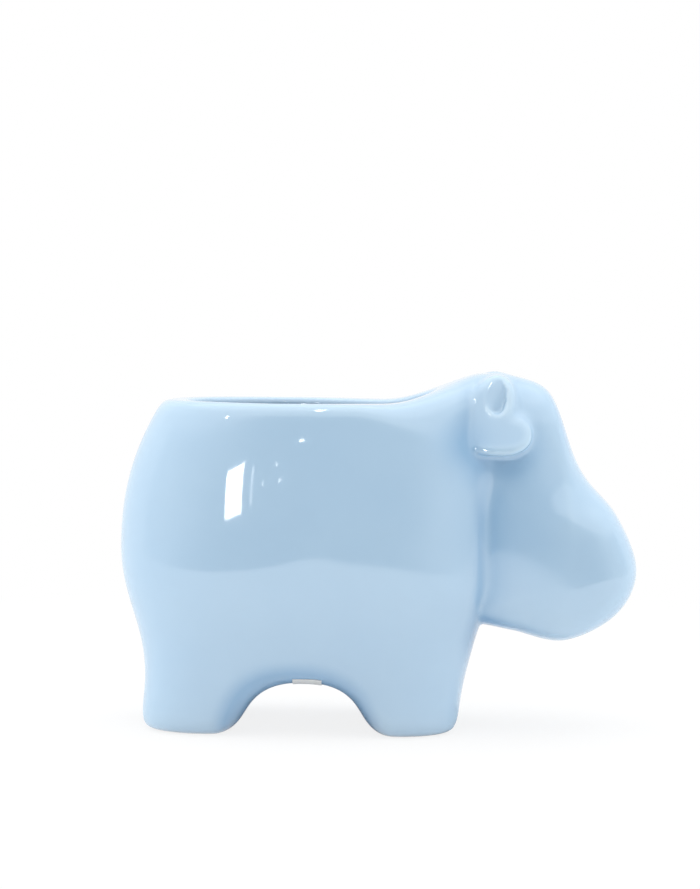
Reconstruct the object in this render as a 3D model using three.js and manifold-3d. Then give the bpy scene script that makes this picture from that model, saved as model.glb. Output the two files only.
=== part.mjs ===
// A glazed ceramic vase in the form of a standing hippopotamus, open along the back.
// Hollow castings (body, head and four legs) and two solid ears are joined with slip, and a paper
// label is stuck under the belly. Millimetres, +X forwards, +Y the animal's left, +Z up, origin on
// the floor below the middle of the vase.

import * as THREE from "three";
import { mergeVertices } from "three/addons/utils/BufferGeometryUtils.js";
import Module from "manifold-3d";

const { smoothstep, clamp } = THREE.MathUtils;

// Walls and joints
const WALL = 5; // thickness of every casting
const LUTE_GAP = 0.3; // slip joint between two castings

// Body
const BODY_LENGTH = 136; // rump to the joint at the neck
const BODY_WIDTH = 98; // across the flanks
const RIM_HEIGHT = 125.6; // floor to the lip of the vase
const GIRTH_HEIGHT = 68; // where the rump swells furthest
const FLANK_GIRTH_HEIGHT = 55; // where the flanks swell furthest
const RUMP_TUCK = 15.8; // the rim stands this far in from the rump
const HEEL_TUCK = 10.8; // the hocks stand this far in from the rump
const HOCK_HEIGHT = 20; // where the rump and the flanks end their tuck
const FOOT_FLARE = 1.6; // the feet spread this far again, from the hocks to the floor
const FLANK_TUCK = 9; // each flank draws in this far up to the rim
const HOCK_TUCK = 6; // each flank draws in this far down to the hocks
const BREAST_REACH = 15.5; // the barrel's front reaches this far past the neck joint, inside the head
const CHEST_TUCK = 3.3; // the front feet stand this far behind the neck joint
const BRISKET_HEIGHT = 11; // where the chest ends its tuck
const NAPE_RISE = 10.8; // climb of the rim to the nape
const NAPE_RUN = 33; // length of that climb
const NAPE_AHEAD = 3; // where it ends, ahead of the neck joint
const SWELL_POWER = 2.3; // how late the rump draws in towards the rim
const FLANK_POWER = 2; // how late the flanks do
const BARREL_POWER = 2.4; // squareness of the barrel seen from above
const STANCE_POWER = 3.8; // squareness of the four feet's outline seen from above

// Mouth of the vase
const MOUTH_WIDTH = 66;
const MOUTH_SETBACK = 26.5; // rump to the rear end of the mouth
const NAPE_DECK = 15.5; // front end of the mouth to the neck joint
const MOUTH_POWER = 2.3;
const LIP_RADIUS = 4.6; // outer edge of the lip
const LIP_INNER_RADIUS = 2.5;

// Legs, left between two arches that cross under the belly
const ARCH_SPAN = 46.5; // between a front foot and a rear foot
const ARCH_POWER = 2.4; // squareness of both arches
const ARCH_HEIGHT = 20.3;
const ARCH_SETBACK = 72.2; // rump to the middle of the side arch
const ARCH_ROUND = 11; // rounding from the flank into the side arch
const GROIN_SPAN = 24; // between a left foot and a right foot
const GROIN_HEIGHT = 18;
const GROIN_ROUND = 6; // rounding from the rump and the chest into that arch
const FOOT_ROUND = 4; // rounding of the feet's outer lower edge
const INSTEP_ROUND = 8; // rounding of their lower edge under the arches
const HIP_DROP = 3.5; // the leg joints lie this far below the crown of the lower arch

// Head: points of its side outline as distance ahead of the neck joint and height above the floor
const HEAD_LENGTH = 64;
const CROWN = { ahead: 14.5, height: 137.4 };
const BROW = { ahead: 30, height: 130.4 };
const STOP = { ahead: 38.8, height: 108.7 }; // the steep front of the forehead
const BRIDGE = { ahead: 44.5, height: 97.4 };
const NOSE_HEIGHT = 61.5;
const MUZZLE_ROUND = 7.5; // the two points above and below the nose lie this far behind it
const MUZZLE_TOP_HEIGHT = 83.2;
const LIP_HEIGHT = 44.6;
const CHIN = { ahead: 35, height: 33.9 };
const JAW = { ahead: 15.5, height: 37.6 };
const THROAT_HEIGHT = 40.8;
const NECK_WIDTH = 63;
const MUZZLE_WIDTH = 75;
const MUZZLE_AHEAD = 41.5; // neck joint to the widest part of the muzzle
const MUZZLE_POWER = 2.5; // bluntness of the muzzle seen from above
const JOWL_SHARE = 0.32; // height of the widest line, from the jaw to the top of the head
const HEAD_POWER = 2.5;

// Ears: an upright pear-shaped lobe with a hollow towards the side
const EAR_LENGTH = 22.5;
const EAR_DEPTH = 21;
const EAR_HEIGHT = 32;
const EAR_TAPER = 0.28; // share by which the lobe thins towards its tip and thickens towards its root
const EAR_AHEAD = 9.7; // neck joint to the middle of the ear
const EAR_DROP = 15.4; // middle of the ear below the crown
const EAR_SPREAD = 25; // mid-plane of the vase to the middle of an ear
const HOLLOW_LENGTH = 6.5;
const HOLLOW_DEPTH = 12;
const HOLLOW_HEIGHT = 15;
const HOLLOW_BACK = 1.5; // the hollow sits this far behind the middle of the ear
const HOLLOW_RISE = 5.5; // and this far above it
const HOLLOW_OUT = 9; // and this far out from it

// Label under the side arch
const LABEL_LENGTH = 26; // across the belly
const LABEL_WIDTH = 11;
const LABEL_THICKNESS = 0.4;
const LABEL_EDGE_IN = 9; // its near edge lies this far in from the flank
const LABEL_AHEAD = 1.5; // its middle lies this far ahead of the middle of the arch

// Fineness of the facets
const BODY_SIDES = 56;
const CAVITY_SIDES = 40;
const BODY_LEVELS = 14;
const ROUND_STEPS = 4;
const DECK_RINGS = 5; // over the back, before the mouth is cut
const ARCH_STEPS = 24;
const HEAD_SIDES = 40;
const HEAD_STATIONS = 18;
const OUTLINE_SAMPLES = 240;
const LOBE_SIDES = 20;
const LABEL_STEPS = 6;

// Places that follow from those sizes
const VASE_LENGTH = BODY_LENGTH + HEAD_LENGTH;
const RUMP_X = -VASE_LENGTH / 2;
const NECK_X = RUMP_X + BODY_LENGTH;
const NOSE_X = VASE_LENGTH / 2;
const ARCH_X = RUMP_X + ARCH_SETBACK;
const MOUTH_LENGTH = BODY_LENGTH - MOUTH_SETBACK - NAPE_DECK;
const NAPE_HEIGHT = RIM_HEIGHT + NAPE_RISE;
const HIP_HEIGHT = Math.min(ARCH_HEIGHT, GROIN_HEIGHT) - HIP_DROP;
const REACH = VASE_LENGTH; // cutters reach past the vase on every side

const wasm = await Module();
wasm.setup();

function toSolid(geometry) {
  geometry.deleteAttribute("normal");
  geometry.deleteAttribute("uv");
  const merged = mergeVertices(geometry);
  const vertProperties = new Float32Array(merged.attributes.position.array);
  const triVerts = new Uint32Array(merged.index.array);
  return new wasm.Manifold(new wasm.Mesh({ numProp: 3, vertProperties, triVerts }));
}

function ringCentre(ring) {
  return ring.reduce((sum, point) => sum.add(point), new THREE.Vector3()).divideScalar(ring.length);
}

// Skin stretched over a row of closed rings with equal point counts, and a fan over each end ring.
// Seen from the side that the row runs towards, every ring turns anticlockwise. A tip closes the row
// to a point ahead of its last ring.
function loftSolid(rings, tip = ringCentre(rings.at(-1))) {
  const sides = rings[0].length;
  const points = [...rings.flat(), ringCentre(rings[0]), tip];
  const [firstHub, lastHub] = [points.length - 2, points.length - 1];
  const lastRing = (rings.length - 1) * sides;
  const faces = [];
  for (let j = 0; j < sides; j++) {
    const k = (j + 1) % sides;
    for (let row = 0; row < lastRing; row += sides) {
      faces.push(row + j, row + k, row + sides + k, row + j, row + sides + k, row + sides + j);
    }
    faces.push(firstHub, k, j, lastHub, lastRing + j, lastRing + k);
  }
  const geometry = new THREE.BufferGeometry().setFromPoints(points);
  geometry.setIndex(faces);
  return toSolid(geometry);
}

function boxSolid(min, max) {
  const size = max.clone().sub(min);
  const middle = min.clone().add(max).divideScalar(2);
  return toSolid(new THREE.BoxGeometry(...size).translate(...middle));
}

// Radius of a unit superellipse in the direction of an angle
function superRadius(angle, power) {
  const sum = Math.abs(Math.cos(angle)) ** power + Math.abs(Math.sin(angle)) ** power;
  return sum ** (-1 / power);
}

// Quarter circle as pairs of run-in and height left to the edge, from the side towards the edge
function quarterRound(radius) {
  const steps = Array.from({ length: ROUND_STEPS + 1 }, (_, i) => (i / ROUND_STEPS) * (Math.PI / 2));
  return steps.map((a) => ({ inset: radius * (1 - Math.cos(a)), left: radius * (1 - Math.sin(a)) }));
}

// Share of the way up from a girth to the rim
function riseFrom(girth, height) {
  return clamp((height - girth) / (RIM_HEIGHT - girth), 0, 1);
}

// The barrel and the four feet's outline, seen from above, at a height
function barrelSection(height) {
  const rise = riseFrom(GIRTH_HEIGHT, height) ** SWELL_POWER;
  const flankRise = riseFrom(FLANK_GIRTH_HEIGHT, height) ** FLANK_POWER;
  const heel = smoothstep(GIRTH_HEIGHT - height, 0, GIRTH_HEIGHT - HOCK_HEIGHT);
  const hock = smoothstep(FLANK_GIRTH_HEIGHT - height, 0, FLANK_GIRTH_HEIGHT - HOCK_HEIGHT);
  const chest = smoothstep(GIRTH_HEIGHT - height, 0, GIRTH_HEIGHT - BRISKET_HEIGHT);
  const flare = FOOT_FLARE * smoothstep(HOCK_HEIGHT - height, 0, HOCK_HEIGHT);
  return {
    rear: RUMP_X + RUMP_TUCK * rise + HEEL_TUCK * heel - flare,
    front: NECK_X + BREAST_REACH * (1 - rise / 2) - (BREAST_REACH + CHEST_TUCK) * chest,
    half: BODY_WIDTH / 2 - FLANK_TUCK * flankRise - HOCK_TUCK * hock + flare,
    power: THREE.MathUtils.lerp(BARREL_POWER, STANCE_POWER, chest),
  };
}

// Climb of the upper barrel towards the nape
function napeLift(x, height) {
  const end = NECK_X + NAPE_AHEAD;
  const along = smoothstep(x, end - NAPE_RUN, end);
  return NAPE_RISE * along * smoothstep(height, GIRTH_HEIGHT, RIM_HEIGHT);
}

function levelRing(middleX, halfLength, halfWidth, power, height, sides) {
  return Array.from({ length: sides }, (_, j) => {
    const angle = (j / sides) * 2 * Math.PI;
    const radius = superRadius(angle, power);
    const x = middleX + halfLength * radius * Math.cos(angle);
    return new THREE.Vector3(x, halfWidth * radius * Math.sin(angle), height + napeLift(x, height));
  });
}

// The barrel with its skirt down to the floor, grown by an offset on every side
function barrelSolid(offset, sides) {
  const [floor, top] = [-offset, RIM_HEIGHT + offset];
  const foot = quarterRound(FOOT_ROUND).reverse();
  const lip = quarterRound(LIP_RADIUS);
  const [low, high] = [floor + FOOT_ROUND, top - LIP_RADIUS];
  const levels = foot.map(({ inset, left }) => ({ height: low - FOOT_ROUND + left, inset }));
  for (let i = 1; i < BODY_LEVELS; i++) {
    levels.push({ height: THREE.MathUtils.lerp(low, high, i / BODY_LEVELS), inset: 0 });
  }
  levels.push(...lip.map(({ inset, left }) => ({ height: top - left, inset })));
  for (let i = 1; i < DECK_RINGS; i++) {
    levels.push({ height: top, inset: LIP_RADIUS, share: 1 - i / DECK_RINGS });
  }
  const rings = levels.map(({ height, inset, share = 1 }) => {
    const { rear, front, half, power } = barrelSection(height);
    const halfLength = share * ((front - rear) / 2 + offset - inset);
    const halfWidth = share * (half + offset - inset);
    return levelRing((front + rear) / 2, halfLength, halfWidth, power, height, sides);
  });
  return loftSolid(rings);
}

// The opening in the back, with the rounded inner edge of its lip
function mouthSolid() {
  const middleX = RUMP_X + MOUTH_SETBACK + MOUTH_LENGTH / 2;
  const levels = [
    { height: RIM_HEIGHT - WALL - LIP_RADIUS, outset: 0 },
    ...quarterRound(LIP_INNER_RADIUS).map(({ inset, left }) => ({ height: RIM_HEIGHT - left, outset: inset })),
    { height: RIM_HEIGHT + WALL, outset: LIP_INNER_RADIUS },
  ];
  const rings = levels.map(({ height, outset }) => {
    const [halfLength, halfWidth] = [MOUTH_LENGTH / 2 + outset, MOUTH_WIDTH / 2 + outset];
    return levelRing(middleX, halfLength, halfWidth, MOUTH_POWER, height, CAVITY_SIDES);
  });
  return loftSolid(rings);
}

// Outline of an arch from springing to springing, its feet flared to round the floor edge
function archOutline(span, height) {
  const outline = [];
  for (let i = 0; i <= ARCH_STEPS; i++) {
    const angle = (i / ARCH_STEPS) * Math.PI;
    const radius = superRadius(angle, ARCH_POWER);
    const up = height * radius * Math.sin(angle);
    const left = Math.max(INSTEP_ROUND - up, 0);
    const flare = INSTEP_ROUND - Math.sqrt(INSTEP_ROUND ** 2 - left ** 2);
    const across = (span / 2) * radius * Math.cos(angle) + Math.sign(Math.cos(angle)) * flare;
    outline.push({ across, up });
  }
  const below = [outline.at(-1), outline[0]].map(({ across }) => ({ across, up: -WALL }));
  return [...outline, ...below];
}

// Stations along an arch tunnel, with the widening that rounds the skin into each end of it
function tunnelStations(start, end, round) {
  const widening = quarterRound(round).map(({ inset, left }) => ({ along: round - left, widen: inset }));
  const rear = widening.map(({ along, widen }) => ({ at: start + round - along, widen })).reverse();
  const front = widening.map(({ along, widen }) => ({ at: end - round + along, widen }));
  return [{ at: -REACH, widen: round }, ...rear, ...front, { at: REACH, widen: round }];
}

// The arch seen from the side, cut across the belly and grown by an offset
function sideArchSolid(offset) {
  const { half } = barrelSection(ARCH_HEIGHT);
  const rings = tunnelStations(-half, half, ARCH_ROUND).map(({ at, widen }) => {
    const grow = widen + offset;
    const outline = archOutline(ARCH_SPAN + 2 * grow, ARCH_HEIGHT + grow);
    return outline.map(({ across, up }) => new THREE.Vector3(ARCH_X - across, at, up));
  });
  return loftSolid(rings);
}

// The arch seen from the front, cut along the belly and grown by an offset
function groinArchSolid(offset) {
  const { rear, front } = barrelSection(GROIN_HEIGHT);
  const rings = tunnelStations(rear, front, GROIN_ROUND).map(({ at, widen }) => {
    const grow = widen + offset;
    const outline = archOutline(GROIN_SPAN + 2 * grow, GROIN_HEIGHT + grow);
    return outline.map(({ across, up }) => new THREE.Vector3(at, across, up));
  });
  return loftSolid(rings);
}

// Side outline of the head, sampled from the nape over the nose to the throat
function headOutline() {
  const point = ({ ahead, height }) => new THREE.Vector2(ahead, height);
  const muzzleAhead = HEAD_LENGTH - MUZZLE_ROUND;
  const upper = [{ ahead: 0, height: NAPE_HEIGHT }, CROWN, BROW, STOP, BRIDGE];
  const muzzle = [
    { ahead: muzzleAhead, height: MUZZLE_TOP_HEIGHT },
    { ahead: HEAD_LENGTH, height: NOSE_HEIGHT },
    { ahead: muzzleAhead, height: LIP_HEIGHT },
  ];
  const lower = [CHIN, JAW, { ahead: 0, height: THROAT_HEIGHT }];
  const samples = new THREE.SplineCurve([...upper, ...muzzle, ...lower].map(point)).getPoints(OUTLINE_SAMPLES);
  const nose = samples.reduce((best, p, i) => (p.x > samples[best].x ? i : best), 0);
  return { top: samples.slice(0, nose + 1), bottom: samples.slice(nose).reverse() };
}

function heightAlong(samples, ahead) {
  const next = clamp(samples.findIndex((p) => p.x >= ahead), 1, samples.length - 1);
  const [a, b] = [samples[next - 1], samples[next]];
  return THREE.MathUtils.mapLinear(clamp(ahead, a.x, b.x), a.x, b.x, a.y, b.y);
}

// Half width of the head: it swells from the neck to the muzzle and closes bluntly at the nose
function headHalfWidth(ahead) {
  const swell = smoothstep(ahead, 0, MUZZLE_AHEAD);
  const half = THREE.MathUtils.lerp(NECK_WIDTH, MUZZLE_WIDTH, swell) / 2;
  const past = clamp((ahead - MUZZLE_AHEAD) / (HEAD_LENGTH - MUZZLE_AHEAD), 0, 1);
  return half * (1 - past ** MUZZLE_POWER) ** (1 / MUZZLE_POWER);
}

// The head from a little behind the neck joint to the nose, grown by an offset on every side
function headSolid(offset, behind, sides) {
  const { top, bottom } = headOutline();
  const stretch = (HEAD_LENGTH + offset) / HEAD_LENGTH;
  const stations = [-behind];
  for (let i = 0; i < HEAD_STATIONS; i++) {
    stations.push(HEAD_LENGTH * Math.sin((i / HEAD_STATIONS) * (Math.PI / 2)));
  }
  const rings = stations.map((station) => {
    const ahead = Math.max(station, 0);
    const [low, high] = [heightAlong(bottom, ahead) - offset, heightAlong(top, ahead) + offset];
    const middle = THREE.MathUtils.lerp(low, high, JOWL_SHARE);
    const half = headHalfWidth(ahead) + offset;
    const x = NECK_X + station * stretch;
    return Array.from({ length: sides }, (_, j) => {
      const angle = (j / sides) * 2 * Math.PI;
      const radius = superRadius(angle, HEAD_POWER);
      const upright = Math.sin(angle) > 0 ? high - middle : middle - low;
      const z = middle + upright * radius * Math.sin(angle);
      return new THREE.Vector3(x, half * radius * Math.cos(angle), z);
    });
  });
  return loftSolid(rings, new THREE.Vector3(NOSE_X + offset, 0, NOSE_HEIGHT));
}

// An upright ellipsoid that thins towards its top by a taper
function lobeSolid(length, depth, height, taper, position) {
  const lobe = new THREE.SphereGeometry(0.5, LOBE_SIDES, LOBE_SIDES / 2).rotateX(Math.PI / 2);
  const corners = lobe.attributes.position;
  for (let i = 0; i < corners.count; i++) {
    const girth = 1 - 2 * taper * corners.getZ(i);
    corners.setXY(i, corners.getX(i) * girth, corners.getY(i) * girth);
  }
  return toSolid(lobe.scale(length, depth, height).translate(...position));
}

// An ear on the side +1 (left) or -1 (right), seated on the head and the shoulder
function earSolid(side, seat) {
  const middle = new THREE.Vector3(NECK_X + EAR_AHEAD, side * EAR_SPREAD, CROWN.height - EAR_DROP);
  const hollowAt = middle.clone().add(new THREE.Vector3(-HOLLOW_BACK, side * HOLLOW_OUT, HOLLOW_RISE));
  const lobe = lobeSolid(EAR_LENGTH, EAR_DEPTH, EAR_HEIGHT, EAR_TAPER, middle);
  const hollow = lobeSolid(HOLLOW_LENGTH, HOLLOW_DEPTH, HOLLOW_HEIGHT, 0, hollowAt);
  return lobe.subtract(hollow).subtract(seat);
}

// A strip of paper that follows the crown of the side arch
function labelSolid() {
  const crown = (across) => {
    const share = 1 - Math.abs(across / (ARCH_SPAN / 2)) ** ARCH_POWER;
    return ARCH_HEIGHT * share ** (1 / ARCH_POWER) - LUTE_GAP;
  };
  const acrosses = Array.from({ length: LABEL_STEPS + 1 }, (_, i) => {
    return LABEL_AHEAD + LABEL_WIDTH * (i / LABEL_STEPS - 0.5);
  });
  const upper = acrosses.map((across) => new THREE.Vector2(across, crown(across)));
  const lower = acrosses.map((across) => new THREE.Vector2(across, crown(across) - LABEL_THICKNESS));
  const strip = new THREE.Shape([...lower, ...upper.reverse()]);
  const nearEdge = -barrelSection(ARCH_HEIGHT).half + LABEL_EDGE_IN;
  const geometry = new THREE.ExtrudeGeometry(strip, { depth: LABEL_LENGTH, bevelEnabled: false });
  geometry.rotateX(Math.PI / 2).translate(ARCH_X, nearEdge + LABEL_LENGTH, 0);
  return toSolid(geometry);
}

function namedMesh(name, solid, material) {
  const { vertProperties, triVerts } = solid.getMesh();
  const geometry = new THREE.BufferGeometry();
  geometry.setAttribute("position", new THREE.BufferAttribute(new Float32Array(vertProperties), 3));
  geometry.setIndex(new THREE.BufferAttribute(new Uint32Array(triVerts), 1));
  geometry.computeVertexNormals();
  const mesh = new THREE.Mesh(geometry, material);
  mesh.name = name;
  return mesh;
}

function glaze() {
  return new THREE.MeshStandardMaterial({ color: 0xa9cdec, roughness: 0.1, metalness: 0 });
}

function labelPaper() {
  return new THREE.MeshStandardMaterial({ color: 0xf1f0ec, roughness: 0.85, metalness: 0 });
}

// The whole form outside and the hollow inside it
const form = barrelSolid(0, BODY_SIDES)
  .subtract(sideArchSolid(0))
  .subtract(groinArchSolid(0))
  .add(headSolid(0, LUTE_GAP, HEAD_SIDES));
const hollow = barrelSolid(-WALL, CAVITY_SIDES)
  .subtract(sideArchSolid(WALL))
  .subtract(groinArchSolid(WALL))
  .add(headSolid(-WALL, 2 * WALL, CAVITY_SIDES / 2))
  .add(mouthSolid());
const shell = form.subtract(hollow);

// The castings, parted at the neck and at the hips
const HALF_GAP = LUTE_GAP / 2;
const bodyCell = boxSolid(
  new THREE.Vector3(-REACH, -REACH, HIP_HEIGHT + HALF_GAP),
  new THREE.Vector3(NECK_X - HALF_GAP, REACH, REACH),
);
const headCell = boxSolid(
  new THREE.Vector3(NECK_X + HALF_GAP, -REACH, HIP_HEIGHT + HALF_GAP),
  new THREE.Vector3(REACH, REACH, REACH),
);
const earSeat = headSolid(LUTE_GAP, LUTE_GAP, HEAD_SIDES).add(barrelSolid(LUTE_GAP, BODY_SIDES));

const hippoVase = new THREE.Group();
hippoVase.name = "hippo_vase";
hippoVase.add(namedMesh("body_shell", shell.intersect(bodyCell), glaze()));
hippoVase.add(namedMesh("head_shell", shell.intersect(headCell), glaze()));
for (const [sideName, side] of [["left", 1], ["right", -1]]) {
  hippoVase.add(namedMesh(`ear_${sideName}`, earSolid(side, earSeat), glaze()));
  for (const [endName, end] of [["front", 1], ["rear", -1]]) {
    const corner = new THREE.Vector3(ARCH_X + end * REACH, side * REACH, -REACH);
    const inner = new THREE.Vector3(ARCH_X, 0, HIP_HEIGHT - HALF_GAP);
    const legCell = boxSolid(corner.clone().min(inner), corner.clone().max(inner));
    hippoVase.add(namedMesh(`leg_${endName}_${sideName}`, shell.intersect(legCell), glaze()));
  }
}
hippoVase.add(namedMesh("underside_label", labelSolid(), labelPaper()));

export default hippoVase;
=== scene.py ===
"""Looks of a glazed ceramic vase in the form of a standing hippopotamus, open along the back.

The vase is one smooth distance field in millimetres (+X forwards, +Y the animal's left, +Z up), worked
out from the sizes of its castings. Its skin is taken off a lattice, moved exactly onto the field and
parted along the slip joints, so the glaze runs over every joint without a seam.
"""

from __future__ import annotations

import logging
import math
from dataclasses import dataclass, field
from enum import Enum
from functools import cached_property
from typing import Callable

import bmesh
import bpy
import numpy as np
from mathutils import Matrix, Vector
from mathutils.kdtree import KDTree

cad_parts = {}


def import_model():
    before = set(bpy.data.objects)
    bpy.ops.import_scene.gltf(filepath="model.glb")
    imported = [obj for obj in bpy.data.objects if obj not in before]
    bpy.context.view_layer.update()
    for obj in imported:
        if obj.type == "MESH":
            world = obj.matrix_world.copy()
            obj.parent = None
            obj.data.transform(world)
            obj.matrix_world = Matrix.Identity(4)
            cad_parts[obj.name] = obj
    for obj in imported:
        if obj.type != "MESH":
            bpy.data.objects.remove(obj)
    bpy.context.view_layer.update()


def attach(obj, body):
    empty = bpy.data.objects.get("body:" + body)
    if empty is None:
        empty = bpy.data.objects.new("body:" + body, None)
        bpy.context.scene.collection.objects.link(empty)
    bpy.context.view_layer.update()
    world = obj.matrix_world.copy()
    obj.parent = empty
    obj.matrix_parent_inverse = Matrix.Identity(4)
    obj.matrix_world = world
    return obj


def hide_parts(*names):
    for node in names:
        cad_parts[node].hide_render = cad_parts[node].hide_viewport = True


Array = np.ndarray
Amount = np.ndarray | float
Field = Callable[[Array, Array, Array], Array]
Pair = tuple[float, float]
Triple = tuple[float, float, float]
Socket = bpy.types.NodeSocket

MM = 0.001
TINY = 1e-6
IMAGE_LONG_SIDE_PX = 889
SENSOR_MM = 36.0
LOG = logging.getLogger("hippo_vase")


class Side(Enum):
    """The two sides of the animal, with the sign of their Y."""

    LEFT = 1
    RIGHT = -1


class End(Enum):
    """The two ends of the animal, with the sign of their X from the belly."""

    FRONT = 1
    REAR = -1


class Slot(Enum):
    """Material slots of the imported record."""

    GLAZE = "glaze"
    PAPER = "label_paper"


class Ramp(Enum):
    """How a value is carried from one range to another."""

    STRAIGHT = "LINEAR"
    SMOOTH = "SMOOTHSTEP"


class LampUse(Enum):
    """What a lamp does: a fill lights matt surfaces only, a glint shows in the gloss only."""

    FILL = "fill"
    GLINT = "glint"


def ease(value: Array, start: float, end: float) -> Array:
    """Quintic step from 0 at start to 1 at end, smooth in slope and curvature at both.

    Args:
        value: Where the step is read.
        start: Value at which it leaves 0.
        end: Value at which it reaches 1.

    Returns:
        t cubed times (10 - 15 t + 6 t squared), with t the clipped share of the way.
    """
    share = np.clip((value - start) / (end - start), 0.0, 1.0)
    return share**3 * (10.0 - 15.0 * share + 6.0 * share**2)


def soft_max(first: Array, second: Array, reach: Amount) -> Array:
    """Cut of one form by another with a rounded edge.

    Args:
        first: Distance to the first form.
        second: Distance to the second form.
        reach: Difference of the two distances at which the rounding ends.

    Returns:
        The larger distance plus reach / 6 times the cube of the closeness of the two.
    """
    closeness = np.maximum(reach - np.abs(first - second), 0.0) / reach
    return np.maximum(first, second) + closeness**3 * reach / 6.0


def soft_min(first: Array, second: Array, reach: Amount) -> Array:
    """Union of two forms with a rounded crease; the mirror image of soft_max."""
    return -soft_max(-first, -second, reach)


def power_norm(first: Array, second: Array, power: Amount) -> Array:
    """Root of the sum of the powers of two shares, kept off 0."""
    return np.maximum((first**power + second**power) ** (1.0 / power), TINY)


def super_distance(u: Array, v: Array, a: Amount, b: Amount, power: Amount) -> Array:
    """Distance to a superellipse, to first order.

    Args:
        u: First coordinate from the centre.
        v: Second coordinate from the centre.
        a: Half size along u.
        b: Half size along v.
        power: Squareness; 2 is an ellipse.

    Returns:
        (q - 1) over the slope of q, with q the power norm of |u| / a and |v| / b.
    """
    share_u = np.abs(u) / a
    share_v = np.abs(v) / b
    q = power_norm(share_u, share_v, power)
    slope = np.hypot((share_u / q) ** (power - 1.0) / a, (share_v / q) ** (power - 1.0) / b)
    return (q - 1.0) / slope


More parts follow.
